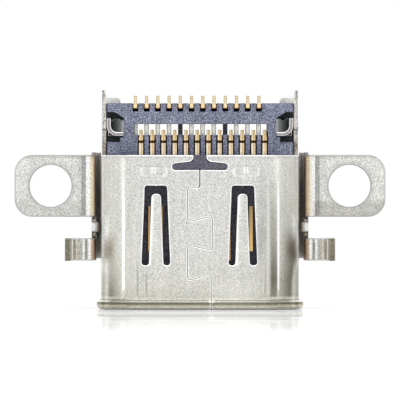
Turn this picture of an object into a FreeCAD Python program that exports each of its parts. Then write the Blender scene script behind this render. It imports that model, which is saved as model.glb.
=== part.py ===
import FreeCAD, Part
import math
import os
import re
import Sketcher

# Receptacle for a round-ended plug with two rows of twelve contacts.
# +X runs along the wide side of the mouth, +Z from the mouth to the solder feet,
# and +Y from the board side to the closed side. The origin is the mouth's centre.
# Lengths are in millimetres.
SIZES = [
    # folded shell
    ("shell_width", 8.84), ("shell_depth", 3.06), ("shell_sheet", 0.25), ("shell_length", 6.87),
    ("lip_overhang", 0.195), ("lip_height", 0.41), ("lip_round", 0.17), ("mouth_bevel", 0.12),
    ("rear_edge", -0.15), ("side_rise", 1.16), ("horn_rise", 2.91), ("horn_far", 0.36),
    ("horn_width", 0.38), ("horn_lean", 0.06), ("tab_rise", 2.59), ("tab_inner", 3.66),
    ("tab_round", 0.15), ("cutaway_rise", 0.43),
    # notch, seam and pressed marks in the near wall
    ("notch_stem", 0.54), ("notch_bar", 2.44), ("notch_reach", 0.66), ("notch_height", 0.265),
    ("notch_shoulder", 0.10), ("notch_round", 0.24), ("seam_gap", 0.04), ("seam_left", -0.56),
    ("seam_right", 0.55),
    ("seam_start", -0.02), ("seam_lead", 0.81), ("seam_second", 3.90), ("seam_third", 2.63),
    ("seam_fourth", 1.30), ("seam_slant", 0.25), ("seam_end", 0.50), ("seam_round", 0.13),
    ("dimple_spacing", 4.10), ("dimple_width", 1.22), ("dimple_height", 0.53),
    ("dimple_reach", 0.70), ("dimple_sink", 0.04),
    # lanced spring fingers
    ("finger_spacing", 3.86), ("finger_low", 1.98), ("tip_clearance", 0.355),
    ("window_reach", 1.36), ("window_top_width", 0.98), ("window_low_width", 1.27),
    ("window_round", 0.10), ("finger_tip_width", 0.50), ("finger_root_width", 0.71),
    ("finger_dip", 0.20), ("finger_sheet", 0.20), ("finger_bend", 1.5), ("finger_crown", 0.6),
    # mounting bracket
    ("bracket_sheet", 0.22), ("bracket_gap", 0.205), ("bracket_low", 2.25),
    ("bracket_rise", 0.13), ("bend_radius", 0.36), ("flange_near", -0.30), ("ear_margin", 0.67),
    ("ear_rim", 0.445), ("ear_round", 0.80), ("screw_spacing", 13.33), ("screw_reach", 1.37),
    ("screw_hole", 1.87), ("leg_offset", 1.56), ("leg_low", 2.17), ("leg_height", 1.0),
    ("leg_end", -1.85), ("leg_bend", 0.25), ("stub_drop", 0.45), ("stub_height", 0.45),
    ("stub_reach", 0.40), ("relief", 0.10),
    # moulded block behind the shell
    ("block_gap", 0.04), ("block_rise", 2.31), ("block_near", -0.70), ("moulding_gap", 0.02),
    ("left_margin", 0.18), ("right_margin", 0.23), ("sill_rise", 0.90), ("window_height", 0.51),
    ("rib_width", 0.20), ("recess_rise", 0.58), ("recess_height", 1.34), ("recess_width", 0.74),
    ("recess_foot_width", 0.57), ("recess_step_rise", 0.79), ("recess_slant", 0.27),
    # tongue
    ("tongue_width", 6.69), ("tongue_depth", 0.70), ("tongue_tip", 1.25), ("tongue_round", 0.20),
    ("root_step", 0.355), ("root_depth", 1.7), ("root_length", 1.0), ("plug_length", 1.27),
    ("boss_sink", 0.04),
    # mid-plate with its two hooked ground legs
    ("plate_sheet", 0.18), ("plate_cover", 0.20), ("plate_inset", 0.03), ("sill_margin", 0.23),
    ("wing_width", 1.05), ("hook_sheet", 0.19), ("hook_inset", 0.10), ("hook_rise", 0.945),
    ("hook_width", 0.71), ("hook_height", 0.735), ("hook_radius", 0.25), ("hook_reach", 0.40),
    # contacts
    ("contact_spacing", 0.5), ("row_shift", 0.125), ("contact_sheet", 0.12),
    ("contact_width", 0.25), ("signal_tip", 2.59), ("power_tip", 2.10), ("foot_proud", 0.10),
    ("jog_reach", 0.97), ("jog_height", 0.40), ("floor_depth", 0.32), ("near_width", 0.23),
    ("bend_rise", 0.55), ("bend_height", 0.10), ("foot_width", 0.215), ("toe_width", 0.13),
    ("foot_rise", 1.13), ("contact_radius", 0.06), ("far_width", 0.16), ("riser_rise", 2.03),
    ("far_rise", 2.60), ("slot_width", 0.26), ("tooth_slot", 0.31), ("slot_rise", 1.94),
]
# Sizes that follow from others. Levels behind the tube are counted from its rear edge.
FOLLOWING = [
    ("side_top", "shell_length + side_rise"), ("horn_top", "shell_length + horn_rise"),
    ("horn_near", "horn_far - horn_width"), ("tab_top", "shell_length + tab_rise"),
    ("cutaway_low", "shell_length + cutaway_rise"), ("notch_low", "shell_length - notch_reach"),
    ("notch_high", "notch_low + notch_height"), ("seam_first", "notch_low - seam_lead"),
    ("dimple_level", "shell_length - dimple_reach"), ("window_top", "shell_length - window_reach"),
    ("finger_tip", "window_top - tip_clearance"), ("bracket_top", "shell_length + bracket_rise"),
    ("screw_level", "shell_length - screw_reach"),
    ("ear_low", "screw_level - screw_hole / 2 - ear_rim"),
    ("ear_top", "screw_level + screw_hole / 2 + ear_rim"),
    ("ear_reach", "screw_spacing / 2 + screw_hole / 2 + ear_margin"),
    ("leg_reach", "shell_width / 2 + leg_offset"), ("stub_level", "ear_low - stub_drop"),
    ("block_width", "shell_width - 2 * shell_sheet - 2 * block_gap"),
    ("block_top", "shell_length + block_rise"), ("window_sill", "shell_length + sill_rise"),
    ("window_head", "window_sill + window_height"),
    ("window_left", "5.5 * contact_spacing + left_margin"),
    ("window_right", "5.5 * contact_spacing + right_margin"),
    ("recess_low", "shell_length + recess_rise"), ("recess_top", "recess_low + recess_height"),
    ("recess_inner", "block_width / 2 - recess_width"),
    ("recess_foot", "block_width / 2 - recess_foot_width"),
    ("recess_step", "shell_length + recess_step_rise"),
    ("root_width", "tongue_width + 2 * root_step"), ("plug_low", "shell_length - plug_length"),
    ("root_low", "plug_low - root_length"), ("plate_tip", "tongue_tip + plate_cover"),
    ("plate_wing", "block_width / 2 - plate_inset"), ("plate_top", "window_sill - sill_margin"),
    ("wing_inner", "plate_wing - wing_width"), ("hook_side", "block_width / 2 - hook_inset"),
    ("hook_level", "shell_length + hook_rise"), ("wing_low", "hook_level - hook_sheet / 2"),
    ("hook_inner", "block_width / 2 - hook_width"),
    ("hook_top", "hook_level + hook_height"), ("hook_end", "block_near - hook_reach"),
    ("foot_near", "block_near - foot_proud"), ("jog_low", "shell_length - jog_reach"),
    ("jog_high", "jog_low + jog_height"), ("near_floor", "block_near + floor_depth"),
    ("near_bend", "shell_length + bend_rise"), ("foot_bend", "near_bend + bend_height"),
    ("foot_top", "shell_length + foot_rise"), ("far_riser", "shell_length + riser_rise"),
    ("far_top", "shell_length + far_rise"), ("slot_low", "shell_length + slot_rise"),
]

os.makedirs("parts", exist_ok=True)
doc = FreeCAD.newDocument("usb_c_socket")
sheet = doc.addObject("Spreadsheet::Sheet", "Sizes")
rows = [(alias, str(value)) for alias, value in SIZES]
rows += [(alias, "=" + formula) for alias, formula in FOLLOWING]
for row, (alias, content) in enumerate(rows, start=1):
    sheet.set("A%d" % row, alias)
    sheet.setAlias("B%d" % row, alias)
    sheet.set("B%d" % row, content)
doc.recompute()
S = {alias: float(sheet.get(alias)) for alias, content in rows}
CONTACTS = 12
POWER = (3, 8)
GROUND = (0, 11)


def bind(text):
    """The expression with each size read from its cell."""
    return re.sub("[a-z][a-z_]*", r"Sizes.\g<0>", text)


def rounded(corners):
    """Lines and tangent arcs of a closed outline through corners (x, y, radius)."""
    points = [FreeCAD.Vector(x, y, 0) for x, y, radius in corners]
    stops = []
    for i, (x, y, radius) in enumerate(corners):
        back = (points[i - 1] - points[i]).normalize()
        ahead = (points[(i + 1) % len(points)] - points[i]).normalize()
        half = back.getAngle(ahead) / 2
        if radius < 1e-6 or half > math.pi / 2 - 1e-6:
            stops.append((points[i], None, points[i]))
            continue
        reach = radius / math.tan(half)
        inward = (back + ahead).normalize()
        middle = points[i] + inward * (radius / math.sin(half) - radius)
        stops.append((points[i] + back * reach, middle, points[i] + ahead * reach))
    edges = []
    for i, (start, middle, end) in enumerate(stops):
        if middle is not None:
            edges.append(Part.Arc(start, middle, end))
        following = stops[(i + 1) % len(stops)][0]
        if end.distanceToPoint(following) > 1e-5:
            edges.append(Part.LineSegment(end, following))
    return edges


def ribbon(path, thickness):
    """Outline of a strip of even thickness along path points (x, y, bend radius at mid-sheet)."""
    count = len(path)
    points = [FreeCAD.Vector(x, y, 0) for x, y, radius in path]
    steps = [(points[i + 1] - points[i]).normalize() for i in range(count - 1)]
    left, right = [], []
    for i, (x, y, radius) in enumerate(path):
        before, after = steps[max(i - 1, 0)], steps[min(i, count - 2)]
        across = (FreeCAD.Vector(-before.y, before.x, 0) + FreeCAD.Vector(-after.y, after.x, 0))
        across.normalize()
        spread = thickness / 2 / abs(across.dot(FreeCAD.Vector(-after.y, after.x, 0)))
        turn = before.x * after.y - before.y * after.x
        inner, outer = max(radius - thickness / 2, 0.0), radius + thickness / 2
        if radius < 1e-6 or abs(turn) < 1e-6:
            inner = outer = 0.0
        a, b = points[i] + across * spread, points[i] - across * spread
        left.append((a.x, a.y, inner if turn > 0 else outer))
        right.append((b.x, b.y, outer if turn > 0 else inner))
    return rounded(left + right[::-1])


def stadium(width, depth):
    """A centred slot outline with full-round ends."""
    x, y = width / 2, depth / 2
    return rounded([(-x, -y, y), (x, -y, y), (x, y, y), (-x, y, y)])


def mirrored(corners):
    """The same corners on the other side of the middle plane."""
    return [(-corner[0],) + tuple(corner[1:]) for corner in corners][::-1]


def tee(slack, top):
    """The notch's T outline drawn in by a slack: sloping shoulders and rounded bar ends."""
    stem, bar = S["notch_stem"] / 2 - slack, S["notch_bar"] / 2 - slack
    low, high = S["notch_low"] + slack, S["notch_high"] - slack
    radius = (high - low) * 0.42
    side = [(stem, top, 0), (stem, high + S["notch_shoulder"], S["notch_round"]),
            (bar, high, radius), (bar, low, radius)]
    return rounded(side + mirrored(side))


def new_body(label):
    item = doc.addObject("PartDesign::Body", label)
    item.Label = label
    return item


def sketch(owner, role, name, loops, lift):
    """A sketch on one of the body's own planes, lifted along the plane's normal."""
    item = owner.newObject("Sketcher::SketchObject", name)
    plane = [f for f in owner.Origin.OriginFeatures if f.Role == role][0]
    item.AttachmentSupport = [(plane, "")]
    item.MapMode = "FlatFace"
    item.setExpression("AttachmentOffset.Base.z", bind(lift))
    for loop in loops:
        item.addGeometry(loop, False)
    return item


def rectangle(item, left, right, low, high):
    """A rectangle in a sketch with each side bound to its own expression."""
    first = item.GeometryCount
    corners = [FreeCAD.Vector(x, y, 0) for x, y in ((-1, -1), (1, -1), (1, 1), (-1, 1))]
    for i in range(4):
        item.addGeometry(Part.LineSegment(corners[i], corners[(i + 1) % 4]), False)
    for i in range(4):
        item.addConstraint(Sketcher.Constraint("Coincident", first + i, 2, first + (i + 1) % 4, 1))
        item.addConstraint(Sketcher.Constraint(("Horizontal", "Vertical")[i % 2], first + i))
    bounds = (("DistanceX", first, 1, left, -1), ("DistanceX", first, 2, right, 1),
              ("DistanceY", first, 1, low, -1), ("DistanceY", first + 2, 1, high, 1))
    for kind, edge, end, text, value in bounds:
        index = item.addConstraint(Sketcher.Constraint(kind, -1, 1, edge, end, value))
        item.setExpression("Constraints[%d]" % index, bind(text))


def circle(item, across, level, diameter):
    """A circle in a sketch with its centre and diameter bound to expressions."""
    first = item.GeometryCount
    item.addGeometry(Part.Circle(FreeCAD.Vector(1, 1, 0), FreeCAD.Vector(0, 0, 1), 1), False)
    for kind, values, text in (("DistanceX", (-1, 1, first, 3, 1), across),
                               ("DistanceY", (-1, 1, first, 3, 1), level),
                               ("Diameter", (first, 2), diameter)):
        index = item.addConstraint(Sketcher.Constraint(kind, *values))
        item.setExpression("Constraints[%d]" % index, bind(text))


def along(owner, role, name, loops, start, end, cut=False):
    """A pad or pocket from start to end along the plane's world axis."""
    flip = role == "XZ_Plane"
    profile = sketch(owner, role, name + "_sketch", loops, "-(%s)" % start if flip else start)
    item = owner.newObject("PartDesign::Pocket" if cut else "PartDesign::Pad", name)
    item.Profile = profile
    item.Reversed = cut != flip
    item.setExpression("Length", bind("(%s) - (%s)" % (end, start)))
    return item


def repeat(owner, item, spacing, times):
    """Copies of a pad or pocket set out along X, the sketch's level axis."""
    pattern = owner.newObject("PartDesign::LinearPattern", item.Name + "_row")
    pattern.Originals = [item]
    pattern.Direction = (item.Profile[0], ["H_Axis"])
    pattern.setExpression("Length", bind("%s * %d" % (spacing, times - 1)))
    pattern.Occurrences = times
    owner.Tip = pattern
    return pattern


def edges_where(shape, test):
    return ["Edge%d" % (i + 1) for i, edge in enumerate(shape.Edges) if test(edge.BoundBox)]


def fillet(owner, base, name, radius, test):
    doc.recompute()
    item = owner.newObject("PartDesign::Fillet", name)
    item.Base = (base, edges_where(base.Shape, test))
    item.setExpression("Radius", bind(radius))
    return item


def chamfer(owner, base, name, reach, test):
    doc.recompute()
    item = owner.newObject("PartDesign::Chamfer", name)
    item.Base = (base, edges_where(base.Shape, test))
    item.setExpression("Size", bind(reach))
    return item


def window_outline(side):
    """The lanced opening's outer edge, wider at the mouth end."""
    centre = S["finger_spacing"] / 2
    top, low = S["window_top_width"] / 2, S["window_low_width"] / 2
    corners = [(centre - low, S["finger_low"], 0), (centre + low, S["finger_low"], 0),
               (centre + top, S["window_top"], S["window_round"]),
               (centre - top, S["window_top"], S["window_round"])]
    return rounded(corners if side > 0 else mirrored(corners))


def lance_outline(side):
    """The slot that frees the finger on three sides, round at both foot ends and at the tip."""
    centre = S["finger_spacing"] / 2
    top, low = S["window_top_width"] / 2, S["window_low_width"] / 2
    tip, root = S["finger_tip_width"] / 2, S["finger_root_width"] / 2
    foot, crown = (low - root) * 0.46, tip * 0.88
    corners = [(centre - low, S["finger_low"], foot), (centre - root, S["finger_low"], foot),
               (centre - tip, S["finger_tip"], crown), (centre + tip, S["finger_tip"], crown),
               (centre + root, S["finger_low"], foot), (centre + low, S["finger_low"], foot),
               (centre + top, S["window_top"], S["window_round"]),
               (centre - top, S["window_top"], S["window_round"])]
    return rounded(corners if side > 0 else mirrored(corners))


def make_shell():
    """Sheet folded to a tube, with a flared lip, a dovetail seam and two spring fingers."""
    body = new_body("shell")
    width, depth, sheet_ = S["shell_width"], S["shell_depth"], S["shell_sheet"]
    hollow = stadium(width - 2 * sheet_, depth - 2 * sheet_)
    along(body, "XY_Plane", "tube", [stadium(width, depth), hollow], "0", "shell_length")
    lip = stadium(width + 2 * S["lip_overhang"], depth + 2 * S["lip_overhang"])
    flare = along(body, "XY_Plane", "lip", [lip, hollow], "0", "lip_height")
    beyond = depth / 2 + S["lip_overhang"] / 2

    def on_rim(box):
        return (box.XMax > width / 2 + 1e-3 or box.XMin < -width / 2 - 1e-3
                or box.YMax > beyond or box.YMin < -beyond)

    soft = fillet(body, flare, "lip_edge", "lip_round",
                  lambda box: box.ZMax < 1e-6 and on_rim(box))
    top = chamfer(body, soft, "lip_shoulder", "lip_overhang * 0.9",
                  lambda box: box.ZLength < 1e-6 and abs(box.ZMax - S["lip_height"]) < 1e-6
                  and on_rim(box))
    chamfer(body, top, "mouth_edge", "mouth_bevel",
            lambda box: box.ZMax < 1e-6 and not on_rim(box)
            and max(box.XMax, -box.XMin) < width / 2 - sheet_ + 1e-3
            and max(abs(box.YMin), abs(box.YMax)) < depth / 2 - sheet_ + 1e-3)
    # the closed side and both side walls run on behind the tube
    along(body, "XY_Plane", "rear_wall", [stadium(width, depth), hollow], "shell_length", "horn_top")
    near_off = along(body, "XZ_Plane", "rear_open", [], "-shell_depth", "rear_edge", cut=True)
    rectangle(near_off.Profile[0], "-shell_width", "shell_width", "shell_length", "horn_top + 1")
    far = depth
    step = [(S["rear_edge"] - 1, S["side_top"], 0), (S["horn_near"], S["side_top"], 0),
            (S["horn_near"] + S["horn_lean"], S["horn_top"] + 1, 0),
            (S["rear_edge"] - 1, S["horn_top"] + 1, 0)]
    tabs = [(S["horn_far"], S["tab_top"], 0), (far, S["tab_top"], 0), (far, S["horn_top"] + 1, 0),
            (S["horn_far"] - S["horn_lean"], S["horn_top"] + 1, 0)]
    along(body, "YZ_Plane", "side_profile", [rounded(step), rounded(tabs)],
          "-shell_width", "shell_width", cut=True)
    inner, low = S["tab_inner"], S["cutaway_low"]
    opening = rounded([(-inner, S["horn_top"] + 1, 0), (-inner, low, S["tab_round"]),
                       (inner, low, S["tab_round"]), (inner, S["horn_top"] + 1, 0)])
    along(body, "XZ_Plane", "cutaway", [opening], "horn_far", "shell_depth", cut=True)
    # notch for the moulding's T boss
    along(body, "XZ_Plane", "notch", [tee(0, S["shell_length"] + 1)], "-shell_depth",
          "-shell_depth / 4", cut=True)
    # windows, then the bent fingers, then the slots that give the fingers their taper
    windows = [window_outline(side) for side in (-1, 1)]
    along(body, "XZ_Plane", "windows", windows, "-shell_depth", "-shell_depth / 4", cut=True)
    wall = -depth / 2 + S["finger_sheet"] / 2
    rise = S["finger_tip"] - S["finger_low"]
    bent = ribbon([(wall, S["finger_low"] - 0.1, 0),
                   (wall, S["finger_low"] + 0.1 * rise, S["finger_bend"]),
                   (wall + S["finger_dip"], S["finger_tip"] - 0.2 * rise, S["finger_crown"]),
                   (wall + 0.4 * S["finger_dip"], S["finger_tip"] + 0.05, 0)], S["finger_sheet"])
    reach = "finger_root_width / 2 + 0.02"
    for name, centre in (("left_finger", "-finger_spacing / 2"), ("right_finger", "finger_spacing / 2")):
        along(body, "YZ_Plane", name, [bent], "%s - (%s)" % (centre, reach),
              "%s + %s" % (centre, reach))
    lances = [lance_outline(side) for side in (-1, 1)]
    along(body, "XZ_Plane", "lances", lances, "-shell_depth", "-shell_depth / 4", cut=True)
    # two shallow pressed pads beside the notch
    for name, centre in (("left_dimple", "-dimple_spacing / 2"), ("right_dimple", "dimple_spacing / 2")):
        pressed = along(body, "XZ_Plane", name, [], "-shell_depth",
                        "dimple_sink - shell_depth / 2", cut=True)
        rectangle(pressed.Profile[0], "%s - dimple_width / 2" % centre,
                  "%s + dimple_width / 2" % centre, "dimple_level - dimple_height / 2",
                  "dimple_level + dimple_height / 2")
    # the seam runs from the notch to the lip round two dovetail tabs
    left, right, bend = S["seam_left"], S["seam_right"], S["seam_round"]
    start, slant, end = S["seam_start"], S["seam_slant"], S["seam_end"]
    path = [(start, S["notch_low"] + 0.05, 0), (start, S["seam_first"], bend),
            (left, S["seam_first"], bend), (left, S["seam_second"], bend),
            (right, S["seam_second"] + slant, bend), (right, S["seam_third"], bend),
            (left, S["seam_third"] + slant, bend), (left, S["seam_fourth"], bend),
            (end, S["seam_fourth"] + slant, bend), (end, -0.1, 0)]
    body.Tip = along(body, "XZ_Plane", "seam", [ribbon(path, S["seam_gap"])], "-shell_depth",
                     "-shell_depth / 4", cut=True)
    return body


def make_bracket():
    """One sheet bent to a cradle round the shell, with screw ears and board legs turned out."""
    body = new_body("mounting_bracket")
    sheet_, bend = S["bracket_sheet"], S["bend_radius"]
    side = S["shell_width"] / 2 + S["bracket_gap"] + sheet_ / 2
    back = S["shell_depth"] / 2 + sheet_ / 2
    flange = S["flange_near"] + sheet_ / 2
    turn = flange + bend
    cradle = ribbon([(-side, turn, 0), (-side, back, bend), (side, back, bend), (side, turn, 0)],
                    sheet_)
    along(body, "XY_Plane", "cradle", [cradle], "bracket_low", "bracket_top")
    for sign in (-1, 1):
        word = "left" if sign < 0 else "right"
        ear = [(sign * side, turn + 0.3, 0), (sign * side, flange, bend),
               (sign * S["ear_reach"], flange, 0)]
        along(body, "XY_Plane", word + "_ear", [ribbon(ear, sheet_)], "ear_low", "ear_top")
        knee = S["leg_reach"] - sheet_ / 2
        leg = [(sign * side, turn + 0.3, 0), (sign * side, flange, bend),
               (sign * knee, flange, S["leg_bend"]), (sign * knee, S["leg_end"], 0)]
        along(body, "XY_Plane", word + "_leg", [ribbon(leg, sheet_)], "leg_low",
              "leg_low + leg_height")
        inner, outer = sorted((sign * (side - sheet_ / 2), sign * (side + sheet_ / 2)))
        near, cut_end = S["flange_near"], S["flange_near"] - S["stub_reach"]
        edge = rounded([(inner, turn + 0.3, 0), (outer, turn + 0.3, 0), (outer, near, 0.03),
                        (inner, near, 0.03)])
        along(body, "XY_Plane", word + "_edge", [edge], "leg_low + leg_height + relief",
              "ear_low - relief")
        stub = rounded([(inner, turn, 0), (outer, turn, 0), (outer, cut_end, 0.04),
                        (inner, cut_end, 0.04)])
        last = along(body, "XY_Plane", word + "_stub", [stub], "stub_level - stub_height / 2",
                     "stub_level + stub_height / 2")
    soft = fillet(body, last, "ear_corners", "ear_round",
                  lambda box: box.XLength < 1e-6 and box.ZLength < 1e-6
                  and abs(abs(box.XMax) - S["ear_reach"]) < 1e-4)
    holes = along(body, "XZ_Plane", "screw_holes", [], "-shell_depth", "shell_depth / 4", cut=True)
    for centre in ("-screw_spacing / 2", "screw_spacing / 2"):
        circle(holes.Profile[0], centre, "screw_level", "screw_hole")
    body.Tip = holes
    return body


def make_mid_plate():
    """The plate between the two contact rows, with a hooked ground leg at each rear corner."""
    body = new_body("mid_plate")
    half, wing = S["tongue_width"] / 2, S["plate_wing"]
    wing_top = S["hook_top"] - S["plate_inset"]
    right = [(half, S["plate_tip"], S["tongue_round"]), (half, S["wing_low"], 0),
             (wing, S["wing_low"], 0), (wing, wing_top, 0), (S["wing_inner"], wing_top, 0),
             (S["wing_inner"], S["plate_top"], 0)]
    last = along(body, "XZ_Plane", "plate", [rounded(right + mirrored(right))],
                 "-plate_sheet / 2", "plate_sheet / 2")
    for sign in (-1, 1):
        hook = [(sign * S["hook_inner"], S["hook_level"], 0),
                (sign * S["hook_side"], S["hook_level"], S["hook_radius"]),
                (sign * S["hook_side"], S["hook_top"], 0)]
        last = along(body, "XZ_Plane", ("left_hook", "right_hook")[sign > 0],
                     [ribbon(hook, S["hook_sheet"])], "hook_end", "0")
    body.Tip = last
    return body


def make_contact(label, index, path, plan):
    """A stamped strip bent in side view and trimmed to its plan outline."""
    body = new_body(label)
    along(body, "YZ_Plane", "strip", [ribbon(path, S["contact_sheet"])], "-contact_spacing",
          "contact_spacing")
    beyond = S["far_top"] + 1
    frame = rounded([(-1, 0, 0), (1, 0, 0), (1, beyond, 0), (-1, beyond, 0)])
    body.Tip = along(body, "XZ_Plane", "trim", [frame, rounded(plan)], "-shell_depth",
                     "shell_depth", cut=True)
    body.setExpression("Placement.Base.x", bind("(%s) * contact_spacing" % (index - (CONTACTS - 1) / 2)))
    return body


def tip_of(index):
    return S["power_tip"] if index in POWER + GROUND else S["signal_tip"]


def make_near_contact(index):
    """Board-side row: along the tongue, then up the block's slots to the first row of feet."""
    sheet_ = S["contact_sheet"]
    tongue = -S["tongue_depth"] / 2 + sheet_ / 2
    floor, foot = S["near_floor"] - sheet_ / 2, S["foot_near"] + sheet_ / 2
    tip, shift = tip_of(index), S["row_shift"]
    path = [(tongue, tip, 0), (tongue, S["jog_low"], 0), (floor, S["jog_high"], 0),
            (floor, S["near_bend"], sheet_ / 2), (foot, S["foot_bend"], sheet_ / 2),
            (foot, S["foot_top"], 0)]
    half, low, knee, toe = (S[name] / 2 for name in ("contact_width", "near_width", "foot_width",
                                                     "toe_width"))
    plan = [(-half, tip - half, 0), (half, tip - half, 0), (half, S["jog_low"], 0),
            (shift + low, S["jog_high"], 0), (shift + low, S["near_bend"], 0),
            (shift + knee, S["foot_bend"], 0), (shift + toe, S["foot_top"] + toe, 0),
            (shift - toe, S["foot_top"] + toe, 0), (shift - knee, S["foot_bend"], 0),
            (shift - low, S["near_bend"], 0), (shift - low, S["jog_high"], 0),
            (-half, S["jog_low"], 0)]
    return make_contact("near_contact_%02d" % (index + 1), index, path, plan)


def make_far_contact(index):
    """Far row: along the tongue's other face, past the window, then down to the rear feet."""
    sheet_, bend = S["contact_sheet"], S["contact_radius"]
    tongue = S["tongue_depth"] / 2 - sheet_ / 2
    foot = S["foot_near"] + sheet_ / 2
    tip, shift = tip_of(index), -S["row_shift"]
    path = [(tongue, tip, 0), (tongue, S["far_riser"], bend), (foot, S["far_riser"], bend),
            (foot, S["far_top"], 0)]
    half, low = S["contact_width"] / 2, S["far_width"] / 2
    plan = [(-half, tip - half, 0), (half, tip - half, 0), (half, S["jog_low"], 0),
            (shift + low, S["jog_high"], 0), (shift + low, S["far_top"] + low, 0),
            (shift - low, S["far_top"] + low, 0), (shift - low, S["jog_high"], 0),
            (-half, S["jog_low"], 0)]
    return make_contact("far_contact_%02d" % (index + 1), index, path, plan)


def make_tongue():
    """Tongue, stepped root and the plug that fills the rear of the shell."""
    body = new_body("tongue_blank")
    half, deep, soft = S["tongue_width"] / 2, S["tongue_depth"] / 2, S["tongue_round"]
    blade = rounded([(-half, -deep, soft), (half, -deep, soft), (half, deep, soft),
                     (-half, deep, soft)])
    tongue = along(body, "XY_Plane", "blade", [blade], "tongue_tip", "root_low")
    fillet(body, tongue, "blade_tip", "tongue_round * 0.8",
           lambda box: box.ZLength < 1e-6 and box.ZMax < S["tongue_tip"] + 1e-6)
    root_half, root_deep = S["root_width"] / 2, S["root_depth"] / 2
    root = rounded([(-root_half, -root_deep, 0.3), (root_half, -root_deep, 0.3),
                    (root_half, root_deep, 0.3), (-root_half, root_deep, 0.3)])
    along(body, "XY_Plane", "root", [root], "root_low", "plug_low")
    slack = 2 * (S["shell_sheet"] + S["moulding_gap"])
    plug = stadium(S["shell_width"] - slack, S["shell_depth"] - slack)
    along(body, "XY_Plane", "plug", [plug], "plug_low", "shell_length")
    boss = tee(S["moulding_gap"], S["shell_length"])
    body.Tip = along(body, "XZ_Plane", "boss", [boss], "boss_sink - shell_depth / 2",
                     "-shell_depth / 4")
    return body


def rear_slots(body, near, far):
    """Twelve slots at the block's rear edge for the risers of the far row."""
    first = "-(%s) * contact_spacing - row_shift" % ((CONTACTS - 1) / 2)
    slot = along(body, "XZ_Plane", "rear_slot", [], near, far, cut=True)
    rectangle(slot.Profile[0], first + " - slot_width / 2", first + " + slot_width / 2",
              "slot_low", "block_top + 1")
    return repeat(body, slot, "contact_spacing", CONTACTS)


def make_near_base():
    """Board-side half of the block: teeth, ribbed window and two corner recesses."""
    body = new_body("near_contact_blank")
    block = along(body, "XZ_Plane", "block", [], "block_near", "0")
    rectangle(block.Profile[0], "-block_width / 2", "block_width / 2", "shell_length", "block_top")
    slant = S["recess_slant"]
    corner = [(S["recess_foot"], S["recess_low"], 0), (S["block_width"], S["recess_low"], 0),
              (S["block_width"], S["recess_top"], 0),
              (S["recess_inner"] + 1.6 * slant, S["recess_top"], 0),
              (S["recess_inner"], S["recess_top"] - slant, 0),
              (S["recess_inner"], S["recess_step"], 0), (S["recess_foot"], S["recess_step"], 0)]
    along(body, "XZ_Plane", "recesses", [rounded(corner), rounded(mirrored(corner))],
          "block_near", "-plate_sheet / 2", cut=True)
    window = along(body, "XZ_Plane", "window", [], "block_near", "0", cut=True)
    ribs = ["(%s) * contact_spacing - row_shift" % (index - (CONTACTS - 1) / 2) for index in (4, 8)]
    sides = (("-window_left", ribs[0] + " - rib_width / 2"),
             (ribs[0] + " + rib_width / 2", ribs[1] + " - rib_width / 2"),
             (ribs[1] + " + rib_width / 2", "window_right"))
    for left, right in sides:
        rectangle(window.Profile[0], left, right, "window_sill", "window_head")
    first = "-(%s) * contact_spacing + row_shift" % ((CONTACTS - 1) / 2)
    slot = along(body, "XZ_Plane", "tooth_slot", [], "block_near", "near_floor", cut=True)
    rectangle(slot.Profile[0], first + " - tooth_slot / 2", first + " + tooth_slot / 2",
              "shell_length - 1", "window_sill + window_height / 4")
    repeat(body, slot, "contact_spacing", CONTACTS)
    body.Tip = rear_slots(body, "block_near", "0")
    return body


def make_far_base():
    """Closed-side half of the block, rounded to the shell, with the open window."""
    body = new_body("far_contact_blank")
    deep = S["shell_depth"] / 2 - S["shell_sheet"] - S["moulding_gap"]
    half = S["shell_width"] / 2 - S["shell_sheet"] - S["moulding_gap"]
    outline = rounded([(-half, 0, 0), (half, 0, 0), (half, deep, deep), (-half, deep, deep)])
    along(body, "XY_Plane", "block", [outline], "shell_length", "block_top")
    window = along(body, "XZ_Plane", "window", [], "0", "shell_depth", cut=True)
    rectangle(window.Profile[0], "-window_left", "window_right", "window_sill", "window_head")
    body.Tip = rear_slots(body, "0", "tongue_depth / 2")
    return body


def moulded_round(label, blank, metal):
    """The moulding with the shape of the metal it was cast round taken out."""
    item = doc.addObject("Part::Cut", label)
    item.Label = label
    item.Base = blank
    item.Tool = metal
    return item


metal_parts = [make_mid_plate()]
metal_parts += [make_near_contact(index) for index in range(CONTACTS)]
metal_parts += [make_far_contact(index) for index in range(CONTACTS)]
metal = doc.addObject("Part::Compound", "metal")
metal.Links = metal_parts
sub_parts = [make_shell(), make_bracket()] + metal_parts
sub_parts += [moulded_round(label, blank, metal) for label, blank in (
    ("tongue_moulding", make_tongue()), ("near_contact_base", make_near_base()),
    ("far_contact_base", make_far_base()))]
doc.recompute()

for item in doc.Objects:
    if "Invalid" in item.State or "Error" in item.State:
        raise RuntimeError("%s did not build: %s" % (item.Name, item.State))
for item in sub_parts:
    shape = item.Shape
    if shape.isNull() or not shape.isValid() or not shape.Solids:
        raise RuntimeError("%s has no valid solid" % item.Label)
for item in sub_parts:
    item.Shape.exportStep("parts/%s.step" % item.Label)
    print(item.Label, len(item.Shape.Solids), round(item.Shape.Volume, 4))
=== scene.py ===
import math

import bmesh
import bpy
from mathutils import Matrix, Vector
from mathutils.geometry import delaunay_2d_cdt
from mathutils.kdtree import KDTree


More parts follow.
